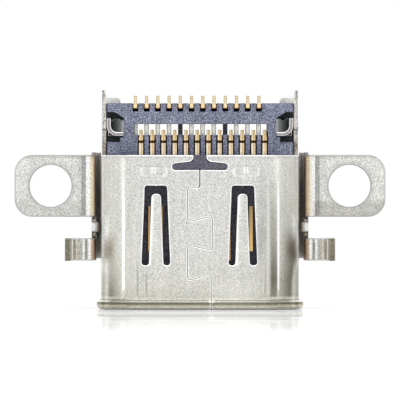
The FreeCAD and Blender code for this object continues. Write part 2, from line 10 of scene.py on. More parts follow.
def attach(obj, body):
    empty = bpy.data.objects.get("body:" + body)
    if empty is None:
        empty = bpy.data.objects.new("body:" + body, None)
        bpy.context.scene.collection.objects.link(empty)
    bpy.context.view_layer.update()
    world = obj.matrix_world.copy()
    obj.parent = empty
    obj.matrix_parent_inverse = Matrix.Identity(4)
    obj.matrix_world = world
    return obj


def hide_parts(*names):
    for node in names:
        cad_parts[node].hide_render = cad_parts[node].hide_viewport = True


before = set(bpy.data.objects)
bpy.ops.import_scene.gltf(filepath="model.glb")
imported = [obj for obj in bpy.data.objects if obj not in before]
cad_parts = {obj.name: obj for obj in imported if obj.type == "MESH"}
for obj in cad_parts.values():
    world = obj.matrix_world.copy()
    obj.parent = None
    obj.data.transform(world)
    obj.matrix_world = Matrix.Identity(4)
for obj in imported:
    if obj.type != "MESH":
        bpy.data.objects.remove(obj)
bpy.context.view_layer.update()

# Camera. A long lens straight in front of the board side, level with the middle of
# the part, so that the mouth faces down and the screw ears stand out to both sides.
FRAME_WIDTH = 17.86
CAMERA_BACK = 240.0
CAMERA_LEVEL = 4.87
MM = 0.001


def placed(name, data):
    """A new object of the scene that shows a mesh, a lens or a lamp."""
    item = bpy.data.objects.new(name, data)
    bpy.context.scene.collection.objects.link(item)
    return item


lens = bpy.data.cameras.new("camera")
lens.sensor_width = 36.0
lens.lens = 36.0 * CAMERA_BACK / FRAME_WIDTH
lens.clip_start = 0.002
camera = placed("camera", lens)
camera.location = Vector((0.0, -CAMERA_BACK, CAMERA_LEVEL)) * MM
camera.rotation_euler = (math.radians(90.0), 0.0, 0.0)
bpy.context.scene.camera = camera
bpy.context.scene.view_settings.view_transform = "Standard"


# Shell. One stainless sheet folded to a round-ended tube round the contacts. Its two
# ends lock by a dovetail seam, the mouth is flared, and two spring fingers are lanced
# out of the board side and bent inwards.
SHELL_WIDTH = 8.84
SHELL_DEPTH = 3.06
SHELL_SHEET = 0.25
SHELL_TOP = 6.87
CORNER_ROUND = SHELL_DEPTH / 2
FLAT_HALF = SHELL_WIDTH / 2 - CORNER_ROUND
HALF_GIRTH = 2 * FLAT_HALF + math.pi * CORNER_ROUND
EDGE_ROLL = 0.06
SEAM = [(-0.02, 6.21, 0.0), (-0.02, 5.41, 0.13), (-0.56, 5.41, 0.13), (-0.56, 3.90, 0.13),
        (0.55, 4.15, 0.13), (0.55, 2.63, 0.13), (-0.56, 2.88, 0.13), (-0.56, 1.30, 0.13),
        (0.50, 1.55, 0.13), (0.50, 0.0, 0.0)]
SEAM_GAP = 0.012
# middles of the left and right finger and of the windows round them
FINGERS, WINDOWS = (-1.945, 1.891), (-1.958, 1.905)
FINGER_LOW, FINGER_TIP, WINDOW_TOP = 1.98, 5.155, 5.50
FINGER_BEND = [(1.98, 0.0), (2.30, 0.0), (4.52, 0.20), (5.20, 0.08)]
FINGER_SHEET = 0.20
# middles of the two pressed pads and of the coining mark beside the seam
PADS, PAD_LEVEL = (-2.04, 2.06), 6.135
MARK, MARK_LEVEL = 0.335, 5.385
LIP = [(0.0, 0.02), (0.03, 0.10), (0.08, 0.155), (0.16, 0.19), (0.24, 0.195), (0.31, 0.18),
       (0.36, 0.13), (0.40, 0.07), (0.44, 0.025), (0.50, 0.0)]
MOUTH_BEVEL = 0.12


def outline(corners, step=0.15, closed=True):
    """Points along corners (x, z, radius), close together round each corner's arc."""
    spots = [Vector((x, z)) for x, z, radius in corners]
    count = len(spots)
    path = []
    for i, (x, z, radius) in enumerate(corners):
        if not closed and i in (0, count - 1):
            path.append(spots[i])
            continue
        back = (spots[i - 1] - spots[i]).normalized()
        ahead = (spots[(i + 1) % count] - spots[i]).normalized()
        half = back.angle(ahead) / 2
        if radius < 1e-6 or half > math.pi / 2 - 1e-4:
            path.append(spots[i])
            continue
        middle = spots[i] + (back + ahead).normalized() * radius / math.sin(half)
        start = spots[i] + back * radius / math.tan(half) - middle
        sweep = math.pi - 2 * half
        turn = 1.0 if back.x * ahead.y - back.y * ahead.x < 0 else -1.0
        pieces = max(3, math.ceil(sweep * radius / 0.05))
        for j in range(pieces + 1):
            angle = turn * sweep * j / pieces
            path.append(middle + Vector((start.x * math.cos(angle) - start.y * math.sin(angle),
                                         start.x * math.sin(angle) + start.y * math.cos(angle))))
    points = []
    for i in range(len(path) if closed else len(path) - 1):
        a, b = path[i], path[(i + 1) % len(path)]
        parts = max(1, math.ceil((b - a).length / step))
        if (b - a).length > 1e-6:
            points += [a.lerp(b, j / parts) for j in range(parts)]
    return points if closed else points + [path[-1]]


def beside(path, reach):
    """Corners of a line that keeps a distance to the left of a path (x, z, radius)."""
    spots = [Vector((x, z)) for x, z, radius in path]
    steps = [(spots[i + 1] - spots[i]).normalized() for i in range(len(spots) - 1)]
    line = []
    for i, (x, z, radius) in enumerate(path):
        before, after = steps[max(i - 1, 0)], steps[min(i, len(steps) - 1)]
        across = Vector((-before.y - after.y, before.x + after.x)).normalized()
        spot = spots[i] + across * (reach / across.dot(Vector((-after.y, after.x))))
        bend = radius - reach * (1 if before.x * after.y > before.y * after.x else -1)
        line.append((spot.x, spot.y, bend if radius else 0.0))
    return line


def curve_at(table, place):
    """Value of a table of (place, value) stops, straight between them."""
    if place <= table[0][0]:
        return table[0][1]
    for (a, low), (b, high) in zip(table, table[1:]):
        if place <= b:
            share = (place - a) / (b - a)
            return low + (high - low) * share
    return table[-1][1]


def inside(x, z, loop):
    """Whether a point of the flat sheet lies within a closed loop."""
    odd = False
    for a, b in zip(loop, loop[1:] + loop[:1]):
        if (a.y > z) != (b.y > z) and x < a.x + (z - a.y) * (b.x - a.x) / (b.y - a.y):
            odd = not odd
    return odd


def inset(loop, reach):
    """Points a little to both sides of a loop, the ones off the sheet being dropped later."""
    points = []
    for before, here, after in zip(loop[-1:] + loop[:-1], loop, loop[1:] + loop[:1]):
        along = (after - before).normalized()
        across = Vector((-along.y, along.x)) * reach
        points += [here + across, here - across]
    return points


def face_outwards(mesh):
    """Turns the faces of a closed mesh outwards."""
    work = bmesh.new()
    work.from_mesh(mesh)
    bmesh.ops.recalc_face_normals(work, faces=work.faces)
    work.to_mesh(mesh)
    work.free()


def sheet_mesh(name, loops, grid, surface, roll, rim_highlight):
    """Sheet metal cut to loops in the flat and formed by surface(u, z), with rolled-over cut
    edges and a painted highlight along them. surface gives a point, the way out of it, how far
    its front and back lie along that way, and four shades: the tone of each, its painted
    highlight, and its dullness with painted shade. A negative highlight is an edge left
    sharper and with less painted highlight. The mesh keeps tone, rim_highlight,
    dull_and_shade and cut for its material."""
    edge_tree = KDTree(sum(len(loop) for loop in loops) * 8)
    for loop in loops:
        for a, b in zip(loop, loop[1:] + loop[:1]):
            for j in range(8):
                spot = a.lerp(b, j / 8)
                edge_tree.insert((spot.x, spot.y, 0.0), 0)
    edge_tree.balance()

    def from_edge(x, z):
        return edge_tree.find((x, z, 0.0))[2]

    points, edges = [], []
    for loop in loops:
        first = len(points)
        points += loop
        edges += [(first + i, first + (i + 1) % len(loop)) for i in range(len(loop))]
    for reach in (roll * 0.18, roll * 0.5, roll, rim_highlight, rim_highlight + 0.03):
        for loop in loops:
            points += [p for p in inset(loop, reach) if from_edge(p.x, p.y) > reach * 0.93]
    points += [p for p in grid if from_edge(p.x, p.y) > rim_highlight + 0.06]
    flat, _, faces, *_ = delaunay_2d_cdt(points, edges, [], 1, 1e-5)
    kept = []
    for face in faces:
        x = sum(flat[i].x for i in face) / 3
        z = sum(flat[i].y for i in face) / 3
        if inside(x, z, loops[0]) and not any(inside(x, z, loop) for loop in loops[1:]):
            kept.append(face)
    used = sorted({i for face in kept for i in face})
    number = {old: new for new, old in enumerate(used)}
    fronts, backs, tones, rim_highlights, dulls_and_shades, cuts = [], [], ([], []), [], [], []
    for i in used:
        x, z = flat[i]
        spot, way, front, back, shades = surface(x, z)
        gap = from_edge(x, z)
        sharp = 1.0 + min(shades[2], 0.0)
        bend = roll * sharp
        drop = bend - math.sqrt(max(bend ** 2 - max(bend - gap, 0.0) ** 2, 0.0))
        fronts.append((spot + way * (front - drop)) * MM)
        backs.append((spot + way * (back + drop * 0.6)) * MM)
        tones[0].append(shades[0])
        tones[1].append(shades[1])
        # painted highlight: strongest at a cut edge and fading over rim_highlight, and never below
        # the surface's own
        rim_highlights.append(max((1.0 - gap / rim_highlight) * sharp, shades[2], 0.0))
        dulls_and_shades.append(shades[3])
        cuts.append(1.0 if gap < 1e-4 else 0.0)
    count = len(used)
    shown = [[number[i] for i in face] for face in kept]
    sides = {}
    for a, b, c in shown:
        for pair in ((a, b), (b, c), (c, a)):
            sides[pair] = 1
    walls = [(a, b, b + count, a + count) for a, b in sides if (b, a) not in sides]
    hidden = [[i + count for i in reversed(face)] for face in shown]
    mesh = bpy.data.meshes.new(name)
    mesh.from_pydata(fronts + backs, [], shown + hidden + walls)
    for label, values in (("tone", tones[0] + tones[1]), ("rim_highlight", rim_highlights * 2), ("dull_and_shade", dulls_and_shades * 2),
                          ("cut", cuts * 2)):
        mesh.attributes.new(label, "FLOAT", "POINT").data.foreach_set("value", values)
    face_outwards(mesh)
    mesh.shade_smooth()
    return placed(name, mesh)


def colour(code):
    """Linear colour of an sRGB hex code."""
    parts = [int(code[i:i + 2], 16) / 255 for i in (1, 3, 5)]
    return [p / 12.92 if p <= 0.04045 else ((p + 0.055) / 1.055) ** 2.4 for p in parts] + [1.0]


def add(tree, kind, inputs=None, stops=None, **settings):
    """The outputs of a new node with its settings, its inputs, given as values or as other
    nodes' outputs, and the stops of its ramp as (place, hex code) or (place, grey)."""
    item = tree.nodes.new(kind)
    for key, value in settings.items():
        setattr(item, key, value)
    for key, value in (inputs or {}).items():
        if isinstance(value, bpy.types.NodeSocket):
            tree.links.new(value, item.inputs[key])
        else:
            item.inputs[key].default_value = value
    if stops:
        elements = item.color_ramp.elements
        while len(elements) < len(stops):
            elements.new(1.0)
        for element, (place, shade) in zip(elements, stops):
            element.position = place
            element.color = colour(shade) if isinstance(shade, str) else (shade, shade, shade, 1.0)
    return item.outputs


def bare_finish(name):
    """A new material with its nodes, its shader and the place on the part in millimetres."""
    material = bpy.data.materials.new(name)
    material.use_nodes = True
    tree = material.node_tree
    where = add(tree, "ShaderNodeTexCoord")["Object"]
    mm = add(tree, "ShaderNodeMapping", {"Vector": where, "Scale": (1000, 1000, 1000)})[0]
    return material, tree, tree.nodes["Principled BSDF"], mm


def tumbled_steel(name, tones, sides, rim_highlight, cuts, roughness, grit, scuffs=((0.0, 0.0), (1.0, 0.0))):
    """Stainless steel, cold rolled and tumbled after stamping: a satin grey with sand-like
    grain and faint drawing streaks along Z. Its tone stops paint highlight and shade bands
    where the sheet is formed, and sides paints reflection and shade by its distance from the
    middle, where scuffs make it rougher. Its rolled rims get a painted highlight in the colour
    rim_highlight, dull_and_shade mixes in stains and painted shade, and its sheared faces,
    coloured by cuts with painted highlight and shade bands, are grainier."""
    material, tree, shader, mm = bare_finish(name)
    # the grain is about 0.04 mm wide, coarser than the real one, so that it shows
    noise = add(tree, "ShaderNodeTexNoise", {"Vector": mm, "Scale": 25.0, "Detail": 2.0,
                                             "Roughness": 0.7})
    drawn = add(tree, "ShaderNodeMapping", {"Vector": mm, "Scale": (6.0, 6.0, 0.35)})[0]
    streak = add(tree, "ShaderNodeTexNoise", {"Vector": drawn, "Scale": 1.0, "Detail": 4.0,
                                              "Roughness": 0.6})["Fac"]
    speck = add(tree, "ShaderNodeMix", {0: 0.14, 6: noise["Fac"], 7: noise["Color"]},
                data_type="RGBA")[2]
    fleck = add(tree, "ShaderNodeMapRange", {"Vector": speck, 7: (0.3, 0.3, 0.3),
                                             8: (0.7, 0.7, 0.7), 9: (1 - grit,) * 3,
                                             10: (1 + grit * 0.8,) * 3},
                data_type="FLOAT_VECTOR")["Vector"]
    line = add(tree, "ShaderNodeMapRange", {"Value": streak, "From Min": 0.3, "From Max": 0.7,
                                            "To Min": 0.92, "To Max": 1.06})[0]
    values = {key: add(tree, "ShaderNodeAttribute", attribute_name=key)["Fac"]
              for key in ("tone", "rim_highlight", "dull_and_shade", "cut")}
    skin = add(tree, "ShaderNodeValToRGB", {"Fac": values["tone"]}, stops=tones)[0]
    across = add(tree, "ShaderNodeSeparateXYZ", {"Vector": mm})
    apart = add(tree, "ShaderNodeMath", {0: across["X"]}, operation="ABSOLUTE")[0]
    apart = add(tree, "ShaderNodeMath", {0: apart, 1: 0.1}, operation="MULTIPLY")[0]
    side_light = add(tree, "ShaderNodeValToRGB", {"Fac": apart}, stops=sides)[0]
    for shade in (side_light, fleck):
        skin = add(tree, "ShaderNodeVectorMath", {0: skin, 1: shade}, operation="MULTIPLY")[0]
    skin = add(tree, "ShaderNodeVectorMath", {0: skin, "Scale": line}, operation="SCALE")[0]
    # how much painted highlight each rim gets
    edge_highlight = add(tree, "ShaderNodeMapRange", {"Value": values["rim_highlight"], "From Min": 0.05,
                                            "From Max": 0.5})[0]
    level = add(tree, "ShaderNodeMath", {0: across["Z"], 1: 0.1}, operation="MULTIPLY")[0]
    sheared = add(tree, "ShaderNodeValToRGB", {"Fac": level}, stops=cuts[0])[0]
    banded = add(tree, "ShaderNodeValToRGB", {"Fac": apart}, stops=cuts[1])[0]
    for shade in (banded, fleck, fleck):
        sheared = add(tree, "ShaderNodeVectorMath", {0: sheared, 1: shade},
                      operation="MULTIPLY")[0]
    # the painted highlight on the rims, the cut faces' colours, and dull_and_shade mixing in stains
    # and painted shade
    for share, shade in ((edge_highlight, colour(rim_highlight)), (values["cut"], sheared),
                         (values["dull_and_shade"], colour("#5a5648"))):
        skin = add(tree, "ShaderNodeMix", {0: share, 6: skin, 7: shade},
                   data_type="RGBA")[2]
    rough = add(tree, "ShaderNodeMapRange", {"Value": noise["Fac"], "From Min": 0.3,
                                             "From Max": 0.7, "To Min": roughness - 0.05,
                                             "To Max": roughness + 0.06})[0]
    scuff = add(tree, "ShaderNodeValToRGB", {"Fac": apart}, stops=scuffs)[0]
    rough = add(tree, "ShaderNodeMath", {0: rough, 1: scuff}, operation="ADD")[0]
    bump = add(tree, "ShaderNodeBump", {"Height": noise["Fac"], "Strength": 0.6,
                                        "Distance": 0.000006})
    tree.links.new(skin, shader.inputs["Base Color"])
    tree.links.new(rough, shader.inputs["Roughness"])
    tree.links.new(bump[0], shader.inputs["Normal"])
    shader.inputs["Metallic"].default_value = 1.0
    return material


def wall_point(u):
    """Outside of the tube at a distance u round it from the middle of the closed side."""
    side, reach = (1 if u > 0 else -1), abs(u)
    if reach < FLAT_HALF:
        return Vector((u, CORNER_ROUND, 0)), Vector((0, 1, 0))
    if reach < FLAT_HALF + math.pi * CORNER_ROUND:
        angle = math.pi / 2 - (reach - FLAT_HALF) / CORNER_ROUND
        way = Vector((side * math.cos(angle), math.sin(angle), 0))
        return Vector((side * FLAT_HALF, 0, 0)) + way * CORNER_ROUND, way
    return Vector((side * (HALF_GIRTH - reach), -CORNER_ROUND, 0)), Vector((0, -1, 0))


def ease(share):
    share = min(max(share, 0.0), 1.0)
    return share * share * (3 - 2 * share)


# where a painted highlight line runs down each round corner
CORNER_HIGHLIGHT = (7.177, 7.091)
# score marks of the die on the board side, with their half width and upper end
SCORES = [(-2.77, 0.055, 2.3), (-2.37, 0.045, 1.95), (2.90, 0.04, 2.4)]
# painted dark reflection on the round corners: where it lies, and how dark it is by height
RIGHT_CORNER_SHADE = [(1.3, 4.00), (2.4, 4.18), (3.1, 4.12), (4.0, 4.02)]
RIGHT_CORNER_SHADE_SHARE = [(0.5, 0.86), (1.3, 0.93), (2.45, 0.88), (3.1, 0.66), (4.0, 0.34),
                     (4.9, 0.22), (5.8, 0.10), (6.4, 0.0)]
LEFT_CORNER_SHADE = 3.99
LEFT_CORNER_SHADE_SHARE = [(0.5, 0.80), (0.8, 0.78), (1.3, 0.60), (1.85, 0.34), (2.4, 0.14), (3.0, 0.0)]
# the greyer right end of the board side
RIGHT_SHARE = [(0.8, 0.0), (1.0, 0.10), (1.9, 0.12), (2.3, 0.18), (2.6, 0.30), (3.5, 0.33),
               (4.0, 0.22), (5.3, 0.16), (5.9, 0.10), (6.4, 0.05), (6.8, 0.0)]
# a stripe of painted shade beside the right round corner
SHADED_STRIPE_SHARE = [(0.5, 0.70), (1.3, 0.90), (1.85, 0.82), (2.45, 0.68), (3.1, 0.56), (4.0, 0.46),
                (4.9, 0.24), (5.6, 0.12), (6.2, 0.0)]


def pressed(x, z):
    """How far the board side is pressed in by its two pads and the coining mark, and the
    painted highlight and painted shade that outline them there."""
    depth = highlight = dull_and_shade = 0.0
    for centre in PADS:
        off = x - centre
        across, up = abs(off) - 0.61 + 0.2, abs(z - PAD_LEVEL) - 0.25 + 0.2
        away = math.hypot(max(across, 0), max(up, 0)) + min(max(across, up), 0) - 0.2
        depth += 0.021 * ease(-away / 0.12)
        # painted highlight on the pads' ends and centre bars, painted shade along their top and
        # bottom lines
        ends = ease((abs(off) - 0.42) / 0.08) * ease((6.36 - z) / 0.08)
        highlight = max(highlight, 0.23 * ends * ease(1.4 - abs(away + 0.06) / 0.07))
        lines = ease((0.44 - abs(off)) / 0.06)
        dull_and_shade = max(dull_and_shade, 0.30 * lines * ease(1 - abs(z - 6.37) / 0.035),
                   0.20 * lines * ease(1 - abs(z - 6.01) / 0.03))
        if 6.0 < z < 6.36:
            bars = max(ease(1.5 - abs(off + 0.08) / 0.035), ease(1.5 - abs(off - 0.045) / 0.04))
            highlight = max(highlight, 0.40 * bars * ease((0.18 - abs(z - 6.185)) / 0.04))
            depth -= 0.012 * bars
    across, up = abs(x - MARK) - 0.305, abs(z - MARK_LEVEL) - 0.155
    dull_and_shade = max(dull_and_shade, 0.22 * ease(1 - abs(max(across, up)) / 0.03))
    highlight = max(highlight, 0.20 * ease(1.2 - abs(max(across, up) + 0.055) / 0.03))
    return depth + 0.010 * ease(-max(across, up) / 0.05), highlight, dull_and_shade


def shell_surface(u, z):
    spot, way = wall_point(u)
    spot = Vector((spot.x, spot.y, z))
    out = curve_at(LIP, z)
    back = -SHELL_SHEET + max(MOUTH_BEVEL - z, 0.0)
    highlight = 0.0
    side = abs(spot.x)
    # painted dark reflection down each round corner, and painted shade on the round sides towards
    # the mouth
    if spot.x > 0:
        past_shade = side - curve_at(RIGHT_CORNER_SHADE, z)
        dull_and_shade = curve_at(RIGHT_CORNER_SHADE_SHARE, z) * (max(1 + past_shade / 0.8, 0) if past_shade < 0
                                                 else ease(1 - past_shade / 0.28))
        dull_and_shade = max(dull_and_shade, (0.14 + 0.26 * ease((2.3 - z) / 0.7)) * ease((side - 3.80) / 0.12))
    else:
        past_shade = side - LEFT_CORNER_SHADE
        dull_and_shade = curve_at(LEFT_CORNER_SHADE_SHARE, z) * (max(1 + past_shade / 0.55, 0) if past_shade < 0
                                                else ease(1 - past_shade / 0.18))
        # a painted reflection of the board leg on the left round side
        patch = ease(1.7 - abs(side - 4.14) / 0.13) * ease(1.4 - abs(z - 2.5) / 0.35)
        dull_and_shade = max(dull_and_shade, 0.20 * patch, 0.28 * ease((side - 3.9) / 0.15) * ease((2.0 - z) / 0.6))
    dull_and_shade *= 1.0 if 0.5 < z < 6.8 and way.y < 0.1 else 0.0
    if way.y < -0.999:
        across = abs(spot.x - FINGERS[spot.x > 0])
        half = 0.350 - 0.110 * (z - FINGER_LOW) / (FINGER_TIP - FINGER_LOW)
        if FINGER_LOW < z < WINDOW_TOP and across < half:
            dip = curve_at(FINGER_BEND, z)
            # a painted highlight along the left edge of each finger
            highlight = 0.40 * ease((across - half + 0.14) / 0.04)
            highlight *= 1.0 if spot.x < FINGERS[spot.x > 0] else 0.0
            return spot, way, -dip, -dip - FINGER_SHEET, (z / 10, z / 10, highlight, 0.0)
        depth, highlight, stain_and_shade = pressed(spot.x, z)
        out -= depth
        for place, width, top in SCORES:
            score = ease(1.3 - abs(spot.x - place) / width) * ease((top - z) / 0.6)
            stain_and_shade = max(stain_and_shade, 0.36 * score * ease((z - 0.55) / 0.2))
        dull_and_shade = max(dull_and_shade, stain_and_shade)
        # painted light on the board side to the right of the seam, near the mouth
        lit = ease((spot.x - 0.62) / 0.05) * ease((2.9 - spot.x) / 0.8) * ease((1.9 - z) / 1.2)
        highlight = max(highlight, lit * (0.07 if z < 0.50 else 0.13))
        # beside the seam the cut edges get less painted highlight and a sharper roll
        if side < 0.62 and 0.06 < z < 6.25 and highlight == 0.0:
            highlight = -0.45 if z > 0.6 else -0.7
        dull_and_shade = max(dull_and_shade, curve_at(RIGHT_SHARE, z) * ease((spot.x - 2.42) / 0.22))
    shaded_stripe = ease((spot.x - 3.09) / 0.06) * ease((3.50 - spot.x) / 0.12)
    if 0.5 < z < 6.2 and way.y < 0:
        dull_and_shade = max(dull_and_shade, curve_at(SHADED_STRIPE_SHARE, z) * shaded_stripe)
    # a painted highlight line down each round corner, brighter towards the mouth
    if way.y > -0.999 and 0.8 < z < 6.75 and way.y < 0:
        away = abs(abs(u) - (CORNER_HIGHLIGHT[0] if u < 0 else CORNER_HIGHLIGHT[1]))
        width = 0.04 if z < 5.5 else 0.07
        highlight = (0.11 + 0.44 * ease((6.0 - z) / 1.5)) * ease(1.6 - away / width)
    if z > 9.3:
        back += 0.05 * (z - 9.3) / 0.48
    return spot, way, out, back, (z / 10, z / 10, highlight, dull_and_shade)


def round_at(depth):
    """Distance round the tube from the closed side's middle to a given Y on its side."""
    return FLAT_HALF + CORNER_ROUND * (math.pi / 2 - math.asin(depth / CORNER_ROUND))


def to_right(corners):
    return [(HALF_GIRTH - x, z, radius) for x, z, radius in corners]


def to_left(corners):
    return [(-HALF_GIRTH - x, z, radius) for x, z, radius in corners]


seam_open = [(x + (0.024 if z > 5.0 and x > -0.1 else 0.0), z, radius) for x, z, radius in SEAM]
notch = [(1.22, 6.21, 0.125), (1.22, 6.475, 0.125), (0.27, 6.575, 0.24), (0.27, SHELL_TOP, 0.05)]
rear = [(round_at(-0.15), SHELL_TOP, 0.04), (round_at(-0.15), 8.03, 0.03),
        (round_at(-0.02), 8.03, 0.0), (round_at(0.018), 9.78, 0.04), (round_at(0.345), 9.78, 0.06),
        (round_at(0.36), 9.49, 0.03), (3.696, 9.49, 0.22), (3.696, 7.30, 0.15)]
right_edge = to_right(beside(seam_open, SEAM_GAP / 2)[::-1] + notch) + rear
left_edge = to_left(beside(SEAM, -SEAM_GAP / 2)[::-1] + [(-x, z, r) for x, z, r in notch])
left_edge += [(-x, z, radius) for x, z, radius in rear]
shell_loops = [outline(right_edge + left_edge[::-1])]
FINGER = [(-0.335, FINGER_LOW, 0.12), (-0.230, FINGER_TIP, 0.20), (0.230, FINGER_TIP, 0.20),
          (0.335, FINGER_LOW, 0.12)]
WINDOW = [(0.627, FINGER_LOW, 0.125), (0.484, WINDOW_TOP, 0.10), (0.05, WINDOW_TOP, 0.0),
          (0.0, WINDOW_TOP - 0.04, 0.0), (-0.05, WINDOW_TOP, 0.0), (-0.484, WINDOW_TOP, 0.10),
          (-0.627, FINGER_LOW, 0.125)]
for flat, finger, window in zip((to_left, to_right), FINGERS, WINDOWS):
    shell_loops.append(outline(flat([(x + finger, z, r) for x, z, r in FINGER]
                                    + [(x + window, z, r) for x, z, r in WINDOW])))

levels = [stop[0] for stop in LIP[1:]] + [0.12, 0.20, 0.28, 0.34, 0.38, 0.42]
levels += [0.62 + 0.16 * i for i in range(58)]
columns = [-HALF_GIRTH - 0.6 + 0.13 * i for i in range(int((2 * HALF_GIRTH + 1.2) / 0.13) + 1)]
for line in (-CORNER_HIGHLIGHT[0], CORNER_HIGHLIGHT[1]):
    columns += [line + 0.02 * i for i in range(-5, 6)]
for place, width, top in SCORES:
    for i in range(-3, 4):
        x = place + 0.025 * i
        columns.append((HALF_GIRTH if x > 0 else -HALF_GIRTH) - x)
shell_grid = [Vector((u, z)) for u in columns for z in levels]
FINE = 0.028
for centre, across, level, up in ((PADS[1], 0.70, 6.14, 0.32), (PADS[0], 0.70, 6.14, 0.32),
                                  (MARK, 0.36, MARK_LEVEL, 0.21)):
    for i in range(int(2 * across / FINE)):
        for j in range(int(2 * up / FINE)):
            x, z = centre - across + FINE * i, level - up + FINE * j
            for flat in (to_right, to_left):
                shell_grid.append(Vector(flat([(x, z, 0)])[0][:2]))
shell = sheet_mesh("folded_shell", shell_loops, shell_grid, shell_surface, EDGE_ROLL,
                   EDGE_ROLL + 0.005)
# the tone stops paint the lip: white painted light at its very bottom, a dark band of painted shade
# under the flare and a white painted highlight above it, and they paint the top of the rear wall
# lighter. The side stops paint a lighter reflection towards the round corners' edges, and the cut
# stops paint highlight and shade bands on the sheared faces.
shell_steel = tumbled_steel(
    "tumbled_stainless_steel",
    [(0.0, "#ffffff"), (0.006, "#9a988c"), (0.010, "#cecbbe"), (0.0155, "#e2e0cf"),
     (0.0195, "#cac9b2"), (0.0225, "#aaa48a"), (0.0250, "#989480"), (0.0262, "#86846f"),
     (0.0344, "#605e4c"), (0.0349, "#fffff8"), (0.037, "#fffff8"), (0.0402, "#ffffff"),
     (0.0412, "#c4c2b6"), (0.0448, "#b8b5a9"), (0.0468, "#d2d0c4"), (0.049, "#eeede0"),
     (0.10, "#fcfbf2"), (0.25, "#fffff9"), (0.5, "#fefef9"), (0.665, "#fffffb"),
     (0.695, "#dcdbd7"), (0.81, "#e4e4e0"), (0.88, "#f6f6f3"), (0.95, "#ffffff")],
    [(0.0, "#dadada"), (0.29, "#dadada"), (0.325, "#d1d1ce"), (0.36, "#d6d6d4"),
     (0.38, "#dadad6"), (0.39, "#e0e0dc"), (0.400, "#e2e2de"), (0.407, "#eeeeec"),
     (0.412, "#f6f6f4"), (0.418, "#f8f8f8"), (0.425, "#eeeef0"), (0.430, "#f1f1f3"),
     (0.434, "#ffffff")],
    "#ffffff", ([(0.0, "#eeeee8"), (0.69, "#eeeee8"), (0.70, "#d9d8cc"), (0.742, "#d2d1c6"),
                 (0.75, "#f2f2f2"), (0.795, "#f2f2f2"), (0.799, "#77767a"), (0.806, "#ffffff"),
                 (0.93, "#ffffff"), (0.938, "#dcdcdc"), (1.0, "#e2e2e2")],
                [(0.0, "#cfcec8"), (0.40, "#cfcec8"), (0.412, "#a08a78"), (0.4175, "#9c7864"),
                 (0.421, "#f4ebe0"), (0.4285, "#f4ebe0"), (0.431, "#d6d6d4"),
                 (0.4395, "#dcdcda"), (0.4405, "#ffffff")]), 0.34, 0.56,
    [(0.422, 0.0), (0.428, 0.5), (0.4370, 0.5), (0.4392, 0.0)])
shell.data.materials.append(shell_steel)
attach(shell, "root")
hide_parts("shell")


# Mounting bracket. A second stainless sheet bent to a cradle round the shell's closed side,
# with two screw ears turned out flat and a board leg and a stub below each of them.
BRACKET_SHEET = 0.22
SIDE_MIDDLE, BACK_MIDDLE, FLANGE_MIDDLE = 4.735, 1.64, -0.19
BEND = 0.36
LEG_BEND, LEG_MIDDLE, LEG_DEPTH = 0.25, 5.86, 1.85
SCREW, SCREW_LEVEL, SCREW_HOLE, EAR_REACH = 6.665, 5.50, 0.935, 8.27
QUARTER = math.pi / 2
V_BACK = SIDE_MIDDLE - BEND
V_SIDE = V_BACK + BEND * QUARTER
V_TURN = V_SIDE + BACK_MIDDLE - FLANGE_MIDDLE - 2 * BEND
V_FLAT = V_TURN + BEND * QUARTER
V_KNEE = V_FLAT + LEG_MIDDLE - LEG_BEND - SIDE_MIDDLE - BEND
V_DROP = V_KNEE + LEG_BEND * QUARTER
V_LEG_END = V_DROP + LEG_DEPTH + FLANGE_MIDDLE - LEG_BEND
V_EAR_END = V_FLAT + EAR_REACH - SIDE_MIDDLE - BEND
V_EDGE = V_TURN + FLANGE_MIDDLE + BEND + 0.08
LEG_TOP, EAR_LOW = 3.22, 4.07
EVEN = [(0.0, "#ffffff"), (1.0, "#ffffff")]


